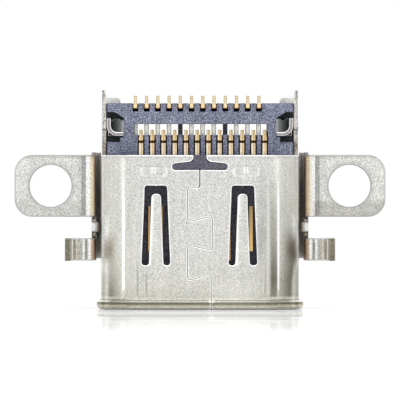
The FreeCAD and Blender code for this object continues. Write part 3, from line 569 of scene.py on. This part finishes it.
def bracket_surface(v, z):
    """Middle of the bent sheet and its way out, from the middle of the closed side."""
    side, reach = (1 if v > 0 else -1), abs(v)
    if reach < V_BACK:
        x, y, across, out = reach, BACK_MIDDLE, 0.0, 1.0
    elif reach < V_SIDE:
        angle = (reach - V_BACK) / BEND
        across, out = math.sin(angle), math.cos(angle)
        x, y = V_BACK + BEND * across, BACK_MIDDLE - BEND + BEND * out
    elif reach < V_TURN or LEG_TOP < z < EAR_LOW:
        x, y, across, out = SIDE_MIDDLE, BACK_MIDDLE - BEND - (reach - V_SIDE), 1.0, 0.0
        x -= 0.66 * max(reach - V_EDGE, 0.0)
    elif reach < V_FLAT:
        angle = (reach - V_TURN) / BEND
        across, out = math.cos(angle), math.sin(angle)
        x, y = SIDE_MIDDLE + BEND - BEND * across, FLANGE_MIDDLE + BEND - BEND * out
    elif z > EAR_LOW or reach < V_KNEE:
        x, y, across, out = SIDE_MIDDLE + BEND + reach - V_FLAT, FLANGE_MIDDLE, 0.0, 1.0
    elif reach < V_DROP:
        angle = (reach - V_KNEE) / LEG_BEND
        across, out = math.sin(angle), math.cos(angle)
        x = LEG_MIDDLE - LEG_BEND + LEG_BEND * across
        y = FLANGE_MIDDLE - LEG_BEND + LEG_BEND * out
    else:
        x, y, across, out = LEG_MIDDLE, FLANGE_MIDDLE - LEG_BEND - (reach - V_DROP), 1.0, 0.0
    half = BRACKET_SHEET / 2
    tone = dull_and_shade = 0.0
    if LEG_TOP < z < EAR_LOW:
        half -= 0.20 * min(max(reach - V_EDGE, 0.0), 0.3)
        dull_and_shade = 0.28 * ease((reach - V_EDGE) / 0.28)
    elif z < LEG_TOP:
        half += 0.025 * ease((reach - V_DROP) / 0.2)
    # the tone paints each ear's bend, a white painted highlight between brown and grey painted
    # shade, and highlight and shade bands across each board leg; dull_and_shade paints shade round
    # the screw hole and in the bend, and darkens the ear's top edge and lower part
    if reach > V_TURN and z > EAR_LOW:
        turned = reach - V_TURN - (0.040 if side > 0 else 0.0)
        tone = 0.48 * min(max(turned, 0.05) / 1.1, 1.0)
        ring = math.hypot(x - SCREW, z - SCREW_LEVEL) - SCREW_HOLE
        low, bent = (0.33, 0.20) if side > 0 else (0.19, 0.08)
        dull_and_shade = max(0.22 * ease((0.24 - ring) / 0.16), 0.22 * ease((z - 6.70) / 0.06),
                   low * ease((4.95 - z) / 0.25) * ease((turned - 0.45) / 0.1),
                   bent * ease((0.52 - turned) / 0.15))
    elif reach > V_TURN and z < LEG_TOP:
        tone = 0.5 + 0.5 * (reach - V_TURN) / (V_LEG_END - V_TURN)
    return (Vector((side * x, y, z)), Vector((side * across, out, 0)), half, -half,
            (0.0, tone, 0.0, dull_and_shade))


half_bracket = [(V_TURN - 0.06, 2.25, 0.03), (V_TURN, 2.17, 0.03), (V_LEG_END, 2.17, 0.03),
                (V_LEG_END, 3.17, 0.03), (V_TURN, 3.17, 0.045), (V_TURN, 3.27, 0.045),
                (V_EDGE, 3.27, 0.03), (V_EDGE, 3.445, 0.0), (V_EDGE + 0.28, 3.445, 0.05),
                (V_EDGE + 0.28, 3.895, 0.05), (V_EDGE, 3.895, 0.0), (V_EDGE, 4.02, 0.03),
                (V_TURN, 4.02, 0.045), (V_TURN, 4.12, 0.045), (V_EAR_END, 4.12, 0.80),
                (V_EAR_END, 6.88, 0.80), (V_TURN, 6.88, 0.05), (V_TURN - 0.08, 7.0, 0.03)]
bracket_loops = [outline(half_bracket + [(-v, z, r) for v, z, r in reversed(half_bracket)])]
for side in (1, -1):
    hole = V_FLAT + SCREW - SIDE_MIDDLE - BEND
    bracket_loops.append([Vector((side * hole + SCREW_HOLE * math.cos(0.0654 * i),
                                  SCREW_LEVEL + SCREW_HOLE * math.sin(0.0654 * i)))
                          for i in range(96)])
bracket_grid = []
for side in (1, -1):
    stations = [0.3 * i for i in range(15)]
    stations += [V_BACK + 0.05 * i for i in range(int((V_FLAT - V_BACK) / 0.05) + 2)]
    stations += [V_FLAT + 0.12 + 0.05 * i for i in range(24)]
    stations += [V_FLAT + 1.32 + 0.2 * i for i in range(10)]
    bracket_grid += [Vector((side * v, 2.3 + 0.2 * i)) for v in stations for i in range(24)]
bracket = sheet_mesh("bent_bracket", bracket_loops, bracket_grid, bracket_surface, 0.03, 0.075)
# its tone stops are painted light: white painted highlights on the bends of ears and legs, between
# bands of brown and grey painted shade
bracket_steel = tumbled_steel(
    "blasted_stainless_steel",
    [(0.0, "#f6f5f2"), (0.03, "#948078"), (0.0694, "#e2b8a4"), (0.0985, "#fbe2c8"),
     (0.1419, "#f9eecb"), (0.177, "#efe6db"), (0.2239, "#f6f4f3"), (0.241, "#f4f4f4"),
     (0.2475, "#a8a8a8"), (0.322, "#adaea9"), (0.345, "#cfd0cb"), (0.49, "#dfdfda"),
     (0.50, "#4a3a28"), (0.5276, "#a07c62"), (0.5391, "#ddc1b3"), (0.5483, "#d1b9a0"),
     (0.5635, "#e5d6c3"), (0.5768, "#fbf9f4"), (0.5829, "#d7d9db"), (0.5949, "#80817c"),
     (0.6017, "#adaaa0"), (0.6095, "#f8f5ee"), (0.6172, "#fbfdfa"), (0.6240, "#bcc0bd"),
     (0.648, "#bdb9ae"), (0.6640, "#cbc7ba"), (0.6714, "#e6e2d6"), (0.6775, "#8a8679"),
     (0.6869, "#a8a497"), (0.7006, "#807c70"), (0.7120, "#fffdf4"), (0.765, "#d8cdc0")],
    EVEN, "#bcbcbd", ([(0.0, "#837f6e"), (0.325, "#837f6e"), (0.33, "#8f8375"), (0.343, "#8f8375"),
                 (0.346, "#7e6a5a"), (0.388, "#7e6a5a"), (0.391, "#8f8375"), (0.40, "#8f8375"),
                 (0.41, "#8e8f8d"), (1.0, "#8e8f8d")], EVEN),
    0.36, 0.62)
bracket.data.materials.append(bracket_steel)
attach(bracket, "root")
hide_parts("mounting_bracket")


# Mid-plate. A stamped steel plate between the two rows of contacts. Its wings show in the
# block's corner recesses, each with a J-shaped ground leg standing on it.
PLATE_SHEET, HOOK_SHEET = 0.18, 0.175
HALF_PLATE = [(3.345, 1.45, 0.20), (3.345, 7.72, 0.05), (4.10, 7.72, 0.05), (4.10, 8.52, 0.05),
              (3.05, 8.52, 0.05), (3.05, 7.54, 0.05)]
HOOK = [(3.39, 7.805, 0.0), (4.05, 7.805, 0.37), (4.05, 8.515, 0.0)]
HOOK_REACH = 1.10


def plate_surface(x, z):
    half = PLATE_SHEET / 2
    return Vector((x, 0, z)), Vector((0, -1, 0)), half, -half, (0.5, 0.5, 0.0, 0.0)


plate_loops = [outline(HALF_PLATE + [(-x, z, radius) for x, z, radius in HALF_PLATE[::-1]], 0.3)]
plate_grid = [Vector((-3.9 + 0.4 * i, 1.6 + 0.4 * j)) for i in range(20) for j in range(18)]
plate = sheet_mesh("stamped_mid_plate", plate_loops, plate_grid, plate_surface, 0.03, 0.04)
# its sides stops paint shade, darkening the wings outward in the block's corner recesses
plate.data.materials.append(tumbled_steel(
    "stamped_plate_steel", [(0.0, "#c4c6c5"), (1.0, "#c4c6c5")],
    [(0.0, "#ffffff"), (0.33, "#ffffff"), (0.345, "#f4f8f7"), (0.352, "#9ea2a1"),
     (0.37, "#6a6d6d"), (0.388, "#3c3e3e"), (0.40, "#2c2d2e")],
    "#d8d9d8", ([(0.0, "#8c8d8b"), (1.0, "#8c8d8b")], EVEN),
    0.30, 0.12))
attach(plate, "root")
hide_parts("mid_plate")

hook_line = outline(HOOK, step=0.08, closed=False)
hook_run = [0.0]
for a, b in zip(hook_line, hook_line[1:]):
    hook_run.append(hook_run[-1] + (b - a).length)
hook_steel = tumbled_steel(
    "sheared_leg_steel", [(0.0, "#dcdcda"), (1.0, "#dcdcda")], EVEN, "#ffffff",
    ([(0.0, "#9c9a9a"), (1.0, "#9c9a9a")], EVEN), 0.30, 0.26)


def hook_surface(run, reach):
    """Middle of the ground leg at a run along its J and a reach towards the board side."""
    i = max(k for k in range(len(hook_run) - 1) if hook_run[k] <= max(run, 0.0) + 1e-9)
    a, b = hook_line[i], hook_line[i + 1]
    spot = a.lerp(b, (run - hook_run[i]) / (hook_run[i + 1] - hook_run[i]))
    before, after = hook_line[max(i - 1, 0)], hook_line[min(i + 2, len(hook_line) - 1)]
    along = (after - before).normalized()
    return (Vector((spot.x, -reach, spot.y)), Vector((-along.y, 0, along.x)),
            HOOK_SHEET / 2, -HOOK_SHEET / 2, (0.5, 0.5, 0.0, 0.0))


def left_hook_surface(run, reach):
    spot, way, front, back, shades = hook_surface(run, reach)
    return Vector((-spot.x, spot.y, spot.z)), Vector((-way.x, 0, way.z)), front, back, shades


hook_loop = outline([(0.0, 0.0, 0.0), (hook_run[-1], 0.0, 0.0), (hook_run[-1], HOOK_REACH, 0.03),
                     (0.0, HOOK_REACH, 0.03)], 0.06)
hook_grid = [Vector((run, 0.12 + 0.2 * j)) for run in hook_run for j in range(5)]
for name, surface in (("ground_leg_left", left_hook_surface), ("ground_leg_right", hook_surface)):
    hook = sheet_mesh(name, [hook_loop], hook_grid, surface, 0.05, 0.055)
    hook.data.materials.append(hook_steel)
    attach(hook, "root")
    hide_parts("mid_plate")


# Mouldings. Three blocks of black glass-filled plastic cast round the contacts: the tongue
# with its plug, and the two halves of the block behind the shell.
BLOCK_FRONT, SLOT_FLOOR = -0.68, -0.58
# half width, middle and half height of the ribbed window
RIBBED_HALF, RIBBED_LEVEL, RIBBED_RISE = 2.95, 8.025, 0.245


def softened(name, node, width):
    """A CAD node's solid with its edges rounded as the real tool or mould leaves them."""
    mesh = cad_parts[node].data.copy()
    mesh.name = name
    mesh.materials.clear()
    solid = bmesh.new()
    solid.from_mesh(mesh)
    bmesh.ops.remove_doubles(solid, verts=solid.verts, dist=1e-7)
    bmesh.ops.dissolve_limit(solid, angle_limit=math.radians(1.0), verts=solid.verts,
                             edges=solid.edges)
    sharp = [edge for edge in solid.edges if len(edge.link_faces) == 2
             and edge.calc_face_angle() > math.radians(35)]
    bmesh.ops.bevel(solid, geom=sharp, offset=width * MM, segments=2, affect="EDGES",
                    clamp_overlap=True, profile=0.5)
    bmesh.ops.triangulate(solid, faces=solid.faces)
    solid.to_mesh(mesh)
    solid.free()
    mesh.shade_smooth()
    mesh.set_sharp_from_angle(angle=math.radians(40))
    # faces on the outermost planes are flagged outer, so that the painted shade behind the block's
    # front leaves them
    high = [max(vertex.co[k] for vertex in mesh.vertices) for k in (0, 1, 2)]
    outer = [1.0 if (face.normal.z > 0.9 and face.center.z > high[2] - 0.05 * MM)
             or (face.normal.y > 0.9 and face.center.y > high[1] - 0.05 * MM)
             or (abs(face.normal.x) > 0.9 and abs(face.center.x) > high[0] - 0.05 * MM) else 0.0
             for face in mesh.polygons]
    mesh.attributes.new("outer", "FLOAT", "FACE").data.foreach_set("value", outer)
    piece = placed(name, mesh)
    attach(piece, "root")
    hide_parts(node)
    return piece


def glass_filled_plastic(name, base, dark, speck, deep):
    """Black liquid-crystal polymer with glass fibre: slate grey on its outer faces, with pale
    short-fibre specks. Behind the block's front its colour is scaled by deep, except on its
    outermost faces: painted shade in the slots and recesses where deep is below one, painted
    light where it is above one. The ribs in the ribbed window are painted dark as shade."""
    material, tree, shader, mm = bare_finish(name)
    fibre = add(tree, "ShaderNodeTexNoise", {"Vector": mm, "Scale": 24.0, "Detail": 2.0,
                                             "Roughness": 0.7})["Fac"]
    cloud = add(tree, "ShaderNodeTexNoise", {"Vector": mm, "Scale": 1.6,
                                             "Detail": 2.0})["Fac"]
    mottle = add(tree, "ShaderNodeMath", {0: cloud, 1: 0.08, 2: -0.04},
                 operation="MULTIPLY_ADD")[0]
    mottle = add(tree, "ShaderNodeMath", {0: fibre, 1: mottle}, operation="ADD")[0]
    skin = add(tree, "ShaderNodeValToRGB", {"Fac": mottle},
               stops=[(0.36, dark), (0.50, base), (0.64, speck)])[0]
    place = add(tree, "ShaderNodeSeparateXYZ", {"Vector": mm})
    shade = add(tree, "ShaderNodeMapRange", {"Value": place["Y"], "From Min": BLOCK_FRONT,
                                             "From Max": SLOT_FLOOR, "To Min": 1.0,
                                             "To Max": deep})[0]
    outer = add(tree, "ShaderNodeAttribute", attribute_name="outer")["Fac"]
    shade = add(tree, "ShaderNodeMath", {0: shade, 1: outer}, operation="MAXIMUM")[0]
    apart = add(tree, "ShaderNodeMath", {0: place["X"]}, operation="ABSOLUTE")[0]
    # painted shade darkens the ribs inside the ribbed window
    inner = add(tree, "ShaderNodeMath", {0: apart, 1: RIBBED_HALF},
                operation="LESS_THAN")[0]
    level = add(tree, "ShaderNodeMath", {0: place["Z"], 1: RIBBED_LEVEL, 2: RIBBED_RISE},
                operation="COMPARE")[0]
    rib = add(tree, "ShaderNodeMath", {0: inner, 1: level}, operation="MULTIPLY")[0]
    rib = add(tree, "ShaderNodeMath", {0: rib, 1: -0.93, 2: 1.0}, operation="MULTIPLY_ADD")[0]
    shade = add(tree, "ShaderNodeMath", {0: shade, 1: rib}, operation="MULTIPLY")[0]
    mixed = add(tree, "ShaderNodeVectorMath", {0: skin, "Scale": shade},
                operation="SCALE")[0]
    bump = add(tree, "ShaderNodeBump", {"Height": fibre, "Strength": 0.6, "Distance": 0.000008})
    tree.links.new(mixed, shader.inputs["Base Color"])
    tree.links.new(bump[0], shader.inputs["Normal"])
    shader.inputs["Roughness"].default_value = 0.55
    shader.inputs["IOR"].default_value = 1.35
    return material


# the tongue's darker base is painted shade inside the shell, and its deep above one paints light
# into its slots
tongue_plastic = glass_filled_plastic("shaded_black_plastic", "#504f5b",
                                      "#373640", "#747380", 1.7)
block_plastic = glass_filled_plastic("glass_filled_black_plastic", "#60657a",
                                     "#323549", "#b4b8cc", 0.05)
for name, node, plastic in (("moulded_tongue", "tongue_moulding", tongue_plastic),
                            ("board_side_block", "near_contact_base", block_plastic),
                            ("closed_side_block", "far_contact_base", block_plastic)):
    block = softened(name, node, 0.008)
    block.data.materials.append(plastic)


# Contacts. Two rows of twelve strips stamped from copper alloy, bent to shape, nickel plated
# and gold plated where they touch or are soldered. The ground and power ones are longer.
CONTACT_COUNT, CONTACT_SPACING, CONTACT_SHEET = 12, 0.5, 0.12
SIGNAL_TIP, POWER_TIP = 2.59, 2.10


def strip_mesh(name, path, widths):
    """A bent strip with broken edges along path (y, z, radius), its middle and half width
    given by widths (z, middle, half)."""
    points = outline(path, step=0.1, closed=False)
    verts, faces = [], []
    for i, here in enumerate(points):
        along = (points[min(i + 1, len(points) - 1)] - points[max(i - 1, 0)]).normalized()
        middle = curve_at([(z, shift) for z, shift, half in widths], here.y)
        half = curve_at([(z, wide) for z, shift, wide in widths], here.y)
        end = 0.75 if i in (0, len(points) - 1) else 1.0
        thick, edge = CONTACT_SHEET / 2 * end, 0.022
        for x, lift in ((half - edge, thick), (half, thick - edge), (half, edge - thick),
                        (half - edge, -thick), (edge - half, -thick), (-half, edge - thick),
                        (-half, thick - edge), (edge - half, thick)):
            spot = here + Vector((-along.y, along.x)) * lift
            verts.append(Vector((middle + x, spot.x, spot.y)) * MM)
    for i in range(len(points) - 1):
        for j in range(8):
            a, b = i * 8 + j, i * 8 + (j + 1) % 8
            faces.append((a, b, b + 8, a + 8))
    last = len(verts) - 8
    faces += [tuple(range(8)), tuple(range(last + 7, last - 1, -1))]
    mesh = bpy.data.meshes.new(name)
    mesh.from_pydata(verts, [], faces)
    face_outwards(mesh)
    return placed(name, mesh)


def contact_row(name, signal, power, material):
    """Sets a signal or a power strip on each place of a row and makes one mesh of them."""
    tree = bpy.data.node_groups.new(name + "_row", "GeometryNodeTree")
    tree.interface.new_socket("Geometry", in_out="OUTPUT", socket_type="NodeSocketGeometry")
    sizes = {}
    for label, kind, size in (("Count", "Int", CONTACT_COUNT),
                              ("Spacing", "Float", CONTACT_SPACING * MM),
                              ("Inner power place", "Float", 2.5),
                              ("Outer ground place", "Float", 5.5)):
        socket = tree.interface.new_socket(label, in_out="INPUT", socket_type="NodeSocket" + kind)
        sizes[socket.identifier] = size
    given = add(tree, "NodeGroupInput")
    span = add(tree, "ShaderNodeMath", {0: given["Count"], 1: 1.0}, operation="SUBTRACT")[0]
    span = add(tree, "ShaderNodeMath", {0: span, 1: given["Spacing"]}, operation="MULTIPLY")[0]
    start = add(tree, "ShaderNodeMath", {0: span, 1: -0.5}, operation="MULTIPLY")[0]
    begin = add(tree, "ShaderNodeCombineXYZ", {"X": start})[0]
    offset = add(tree, "ShaderNodeCombineXYZ", {"X": given["Spacing"]})[0]
    line = add(tree, "GeometryNodeMeshLine", {"Count": given["Count"], "Start Location": begin,
                                              "Offset": offset}, mode="OFFSET")[0]
    place = add(tree, "GeometryNodeInputPosition")[0]
    across = add(tree, "ShaderNodeSeparateXYZ", {0: place})["X"]
    away = add(tree, "ShaderNodeMath", {0: across}, operation="ABSOLUTE")[0]
    away = add(tree, "ShaderNodeMath", {0: away, 1: given["Spacing"]}, operation="DIVIDE")[0]
    near = [add(tree, "ShaderNodeMath", {0: away, 1: given[label], 2: 0.1},
                operation="COMPARE")[0] for label in ("Inner power place",
                                                              "Outer ground place")]
    longer = add(tree, "ShaderNodeMath", {0: near[0], 1: near[1]}, operation="MAXIMUM")[0]
    shorter = add(tree, "ShaderNodeMath", {0: 1.0, 1: longer}, operation="SUBTRACT")[0]
    join = tree.nodes.new("GeometryNodeJoinGeometry")
    for strip, chosen in ((power, longer), (signal, shorter)):
        shape = add(tree, "GeometryNodeObjectInfo", {"Object": strip})["Geometry"]
        row = add(tree, "GeometryNodeInstanceOnPoints", {"Points": line, "Selection": chosen,
                                                         "Instance": shape})[0]
        tree.links.new(row, join.inputs[0])
    real = add(tree, "GeometryNodeRealizeInstances", {0: join.outputs[0]})[0]
    plated = add(tree, "GeometryNodeSetMaterial",
                 {"Geometry": real, "Material": material})[0]
    add(tree, "NodeGroupOutput", {0: plated})
    holder = placed(name, bpy.data.meshes.new(name))
    modifier = holder.modifiers.new("row", "NODES")
    modifier.node_group = tree
    for identifier, size in sizes.items():
        modifier[identifier] = size
    depsgraph = bpy.context.evaluated_depsgraph_get()
    mesh = bpy.data.meshes.new_from_object(holder.evaluated_get(depsgraph))
    mesh.name = name
    holder.modifiers.remove(modifier)
    holder.data = mesh
    for strip in (signal, power):
        bpy.data.objects.remove(strip)
    mesh.shade_smooth()
    mesh.set_sharp_from_angle(angle=math.radians(30))
    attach(holder, "root")
    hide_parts(*["%s_contact_%02d" % (name.split("_")[0], i + 1)
                          for i in range(CONTACT_COUNT)])
    return holder


def plated_strip(name, levels, middle, across):
    """Gold over nickel on copper alloy: bright yellow, its colour given by levels (z, hex)
    along the strip and by across (share, hex) over its width. The touching ends on the
    tongue are smoother than the rest."""
    material, tree, shader, mm = bare_finish(name)
    parts = add(tree, "ShaderNodeSeparateXYZ", {"Vector": mm})
    height = add(tree, "ShaderNodeMath", {0: parts["Z"], 1: 0.1}, operation="MULTIPLY")[0]
    plating = add(tree, "ShaderNodeValToRGB", {"Fac": height},
                  stops=[(z / 10, code) for z, code in levels])[0]
    grain = add(tree, "ShaderNodeTexNoise", {"Vector": mm, "Scale": 16.0,
                                             "Detail": 2.0})["Fac"]
    fleck = add(tree, "ShaderNodeMapRange", {"Value": grain, "From Min": 0.3, "From Max": 0.7,
                                             "To Min": 0.82, "To Max": 1.14})[0]
    row = add(tree, "ShaderNodeMath", {0: parts["X"], 1: -CONTACT_SPACING / 2 - middle},
              operation="ADD")[0]
    row = add(tree, "ShaderNodeMath", {0: row, 1: CONTACT_SPACING / 2, 2: -CONTACT_SPACING / 2},
              operation="WRAP")[0]
    row = add(tree, "ShaderNodeMath", {0: row, 1: 4.0, 2: 0.5}, operation="MULTIPLY_ADD")[0]
    streak = add(tree, "ShaderNodeValToRGB", {"Fac": row}, stops=across)[0]
    mixed = add(tree, "ShaderNodeVectorMath", {0: plating, 1: streak}, operation="MULTIPLY")[0]
    mixed = add(tree, "ShaderNodeVectorMath", {0: mixed, "Scale": fleck}, operation="SCALE")[0]
    rough = add(tree, "ShaderNodeMapRange", {"Value": parts["Z"], "From Min": 6.0, "From Max": 6.6,
                                             "To Min": 0.10, "To Max": 0.30})[0]
    bump = add(tree, "ShaderNodeBump", {"Height": grain, "Strength": 0.4, "Distance": 0.000004})
    tree.links.new(mixed, shader.inputs["Base Color"])
    tree.links.new(rough, shader.inputs["Roughness"])
    tree.links.new(bump[0], shader.inputs["Normal"])
    shader.inputs["Metallic"].default_value = 1.0
    return material


# the dark brown band from Z 7.45 to 7.51 is painted shade in the jog of the near tails
near_gold = plated_strip("selective_gold_plating_near",
                         [(1.0, "#e8c890"), (3.0, "#d8b880"), (4.4, "#a48e6a"), (5.6, "#9c8866"),
                          (6.8, "#f4ebdc"), (7.41, "#f0e4d0"),
                          (7.45, "#80622a"), (7.51, "#80622a"), (7.54, "#ecdab6"),
                          (7.70, "#e6d9bc"), (8.0, "#d9ceb4")], 0.125,
                         [(0.0, "#fff6e6"), (0.30, "#fffefa"), (0.44, "#fff4e2"), (0.52, "#dac6a4"),
                          (0.60, "#d0bb98"), (0.70, "#f9ecd6"), (1.0, "#f8e6ca")])
# the near-black band from Z 8.7 to 8.955 is painted shade where the far tails run through the
# block's dark slots
far_gold = plated_strip("selective_gold_plating_far",
                        [(1.0, "#fff0c8"), (6.0, "#fff0c8"), (6.6, "#ebf1f5"), (8.50, "#ebf1f5"),
                         (8.7, "#14100c"), (8.955, "#14100c"), (8.98, "#f2d4a4"),
                         (9.10, "#f8e6c0"), (9.20, "#e2d8b8"), (9.46, "#d8d0b6"),
                         (9.50, "#d0b088")],
                        -0.125, [(0.0, "#fbe2c0"), (0.22, "#fbeacc"), (0.34, "#fffaf0"),
                                 (0.66, "#ffffff"), (0.80, "#fbeacc"), (1.0, "#fbe2c0")])
for name, path, widths, finish in (
        ("near_contacts", [(-0.315, 5.90, 0.25), (-0.60, 6.30, 0.25), (-0.60, 7.44, 0.05),
                           (-0.74, 7.53, 0.05), (-0.74, 8.0, 0.0)],
         [(5.90, 0.024, 0.099), (6.30, 0.125, 0.110), (7.44, 0.125, 0.110), (7.53, 0.125, 0.100),
          (7.72, 0.125, 0.096), (7.84, 0.125, 0.080), (8.0, 0.125, 0.076)], near_gold),
        ("far_contacts", [(0.29, 8.90, 0.10), (-0.74, 8.90, 0.10), (-0.74, 9.51, 0.0)],
         [(5.90, 0.0, 0.125), (6.30, -0.135, 0.100), (8.50, -0.135, 0.100), (8.80, -0.125, 0.095),
          (9.10, -0.125, 0.090), (9.20, -0.125, 0.073), (9.51, -0.125, 0.070)], far_gold)):
    strips = []
    for kind, tip in (("signal", SIGNAL_TIP), ("power", POWER_TIP)):
        strips.append(strip_mesh(name + "_" + kind, [(path[0][0], tip, 0.0)] + path, widths))
    contact_row(name, strips[0], strips[1], finish)


# Light and ground. A white board with a satin surface, soft light from all round, two
# upright strips that add a broad highlight beside the painted highlight lines down the shell's
# round corners, and a light from above.
def lamp(name, place, aim, size, power):
    light = bpy.data.lights.new(name, "AREA")
    light.shape = "RECTANGLE"
    light.size, light.size_y = size[0] * MM, size[1] * MM
    light.energy = power
    holder = placed(name, light)
    holder.location = Vector(place) * MM
    holder.rotation_euler = (Vector(aim) - Vector(place)).to_track_quat("-Z", "Y").to_euler()


for side in (-1, 1):
    lamp("strip_light_" + ("left" if side < 0 else "right"),
         (side * 66, -76, 18), (0, 0, 4), (7, 60), 0.004)
lamp("top_light", (0, -60, 75), (0, 0, 4), (90, 40), 0.02)

world = bpy.data.worlds.new("studio")
bpy.context.scene.world = world
world.use_nodes = True
tree = world.node_tree
tree.nodes.clear()
sky = add(tree, "ShaderNodeBackground", {"Color": colour("#ffffff"), "Strength": 1.0})[0]
add(tree, "ShaderNodeOutputWorld", {"Surface": sky})

ground = bpy.data.meshes.new("ground")
reach = 400 * MM
ground.from_pydata([(-reach, -reach, 0), (reach, -reach, 0), (reach, reach, 0), (-reach, reach, 0)],
                   [], [(0, 1, 2, 3)])
floor = placed("ground", ground)
satin = bpy.data.materials.new("white_coated_board")
satin.use_nodes = True
tree = satin.node_tree
tree.nodes.clear()
matt = add(tree, "ShaderNodeBsdfDiffuse", {"Color": colour("#ffffff")})[0]
sheen = add(tree, "ShaderNodeBsdfGlossy", {"Color": colour("#ffffff"),
                                           "Roughness": 0.02})[0]
# the board is glossy where the part stands and turns matt within 50 mm of it
where = add(tree, "ShaderNodeTexCoord")["Object"]
away = add(tree, "ShaderNodeVectorMath", {0: where}, operation="LENGTH")["Value"]
gloss = add(tree, "ShaderNodeMath", {0: away, 1: 10.0}, operation="MULTIPLY")[0]
gloss = add(tree, "ShaderNodeValToRGB", {"Fac": gloss},
            stops=[(0.10, 0.50), (0.22, 0.52), (0.35, 0.38), (0.48, 0.12), (0.62, 0.0)])[0]
coated = add(tree, "ShaderNodeMixShader", {0: gloss, 1: matt, 2: sheen})[0]
add(tree, "ShaderNodeOutputMaterial", {"Surface": coated})
ground.materials.append(satin)
